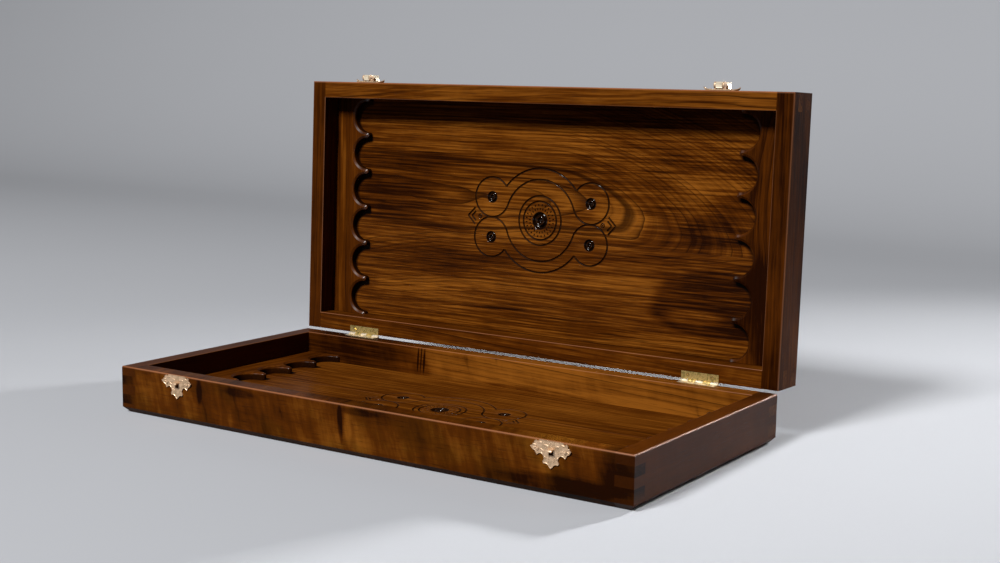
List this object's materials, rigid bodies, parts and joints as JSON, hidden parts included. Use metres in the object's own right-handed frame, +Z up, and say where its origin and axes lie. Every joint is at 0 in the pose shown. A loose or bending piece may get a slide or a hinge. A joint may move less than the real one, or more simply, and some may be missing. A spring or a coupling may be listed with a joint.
{
  "type": "backgammon board",
  "caption": "Folding wooden backgammon board: hinged trays with notched point rails, carved medallions, brass butt hinges and brass hasps.",
  "frame": {"origin": "middle of the lower tray's underside, on the surface that the board stands on", "axes": "+X along the board's length and its hinges, +Y back towards the hinges, +Z up out of the lower tray"},
  "size_m": [0.58, 0.3443, 0.3371],
  "materials": {
    "walnut_frame": "dark walnut stain under gloss varnish",
    "walnut_board": "walnut stain under gloss varnish, carved lines darkened",
    "walnut_rail": "walnut stain under gloss varnish",
    "hinge_brass": "bright yellow brass",
    "plate_brass": "pale rose-tinted brass plating"
  },
  "bodies": {
    "base_tray": {"base_front_wall": "walnut_frame", "base_back_wall": "walnut_frame", "base_left_wall": "walnut_frame", "base_right_wall": "walnut_frame", "base_front_plank": "walnut_board", "base_back_plank": "walnut_board", "base_left_rail": "walnut_rail", "base_right_rail": "walnut_rail", "left_keeper": "plate_brass", "right_keeper": "plate_brass", "keeper_nails": "plate_brass", "base_left_hinge_leaf": "hinge_brass", "base_right_hinge_leaf": "hinge_brass", "base_hinge_screws": "hinge_brass", "left_hinge_pin": "hinge_brass", "right_hinge_pin": "hinge_brass"},
    "lid_tray": {"lid_front_wall": "walnut_frame", "lid_back_wall": "walnut_frame", "lid_left_wall": "walnut_frame", "lid_right_wall": "walnut_frame", "lid_front_plank": "walnut_board", "lid_back_plank": "walnut_board", "lid_left_rail": "walnut_rail", "lid_right_rail": "walnut_rail", "lid_left_hinge_leaf": "hinge_brass", "lid_right_hinge_leaf": "hinge_brass", "lid_hinge_screws": "hinge_brass", "left_latch_plate": "plate_brass", "right_latch_plate": "plate_brass", "latch_nails": "plate_brass", "left_hasp_pin": "plate_brass", "right_hasp_pin": "plate_brass"},
    "left_hasp": {"left_hasp": "plate_brass"},
    "right_hasp": {"right_hasp": "plate_brass"}
  },
  "joints": [
    {"name": "lid_hinge", "type": "hinge", "parent": "base_tray", "child": "lid_tray", "pos_m": [0, 0.1419, 0.0473], "axis": [-1, 0, 0], "range_deg": [-92, 88]},
    {"name": "left_hasp_swing", "type": "hinge", "parent": "lid_tray", "child": "left_hasp", "pos_m": [-0.213, 0.15401, 0.33385], "axis": [1, 0, 0], "range_deg": [0, 180]},
    {"name": "right_hasp_swing", "type": "hinge", "parent": "lid_tray", "child": "right_hasp", "pos_m": [0.213, 0.15401, 0.33385], "axis": [1, 0, 0], "range_deg": [0, 180]}
  ]
}
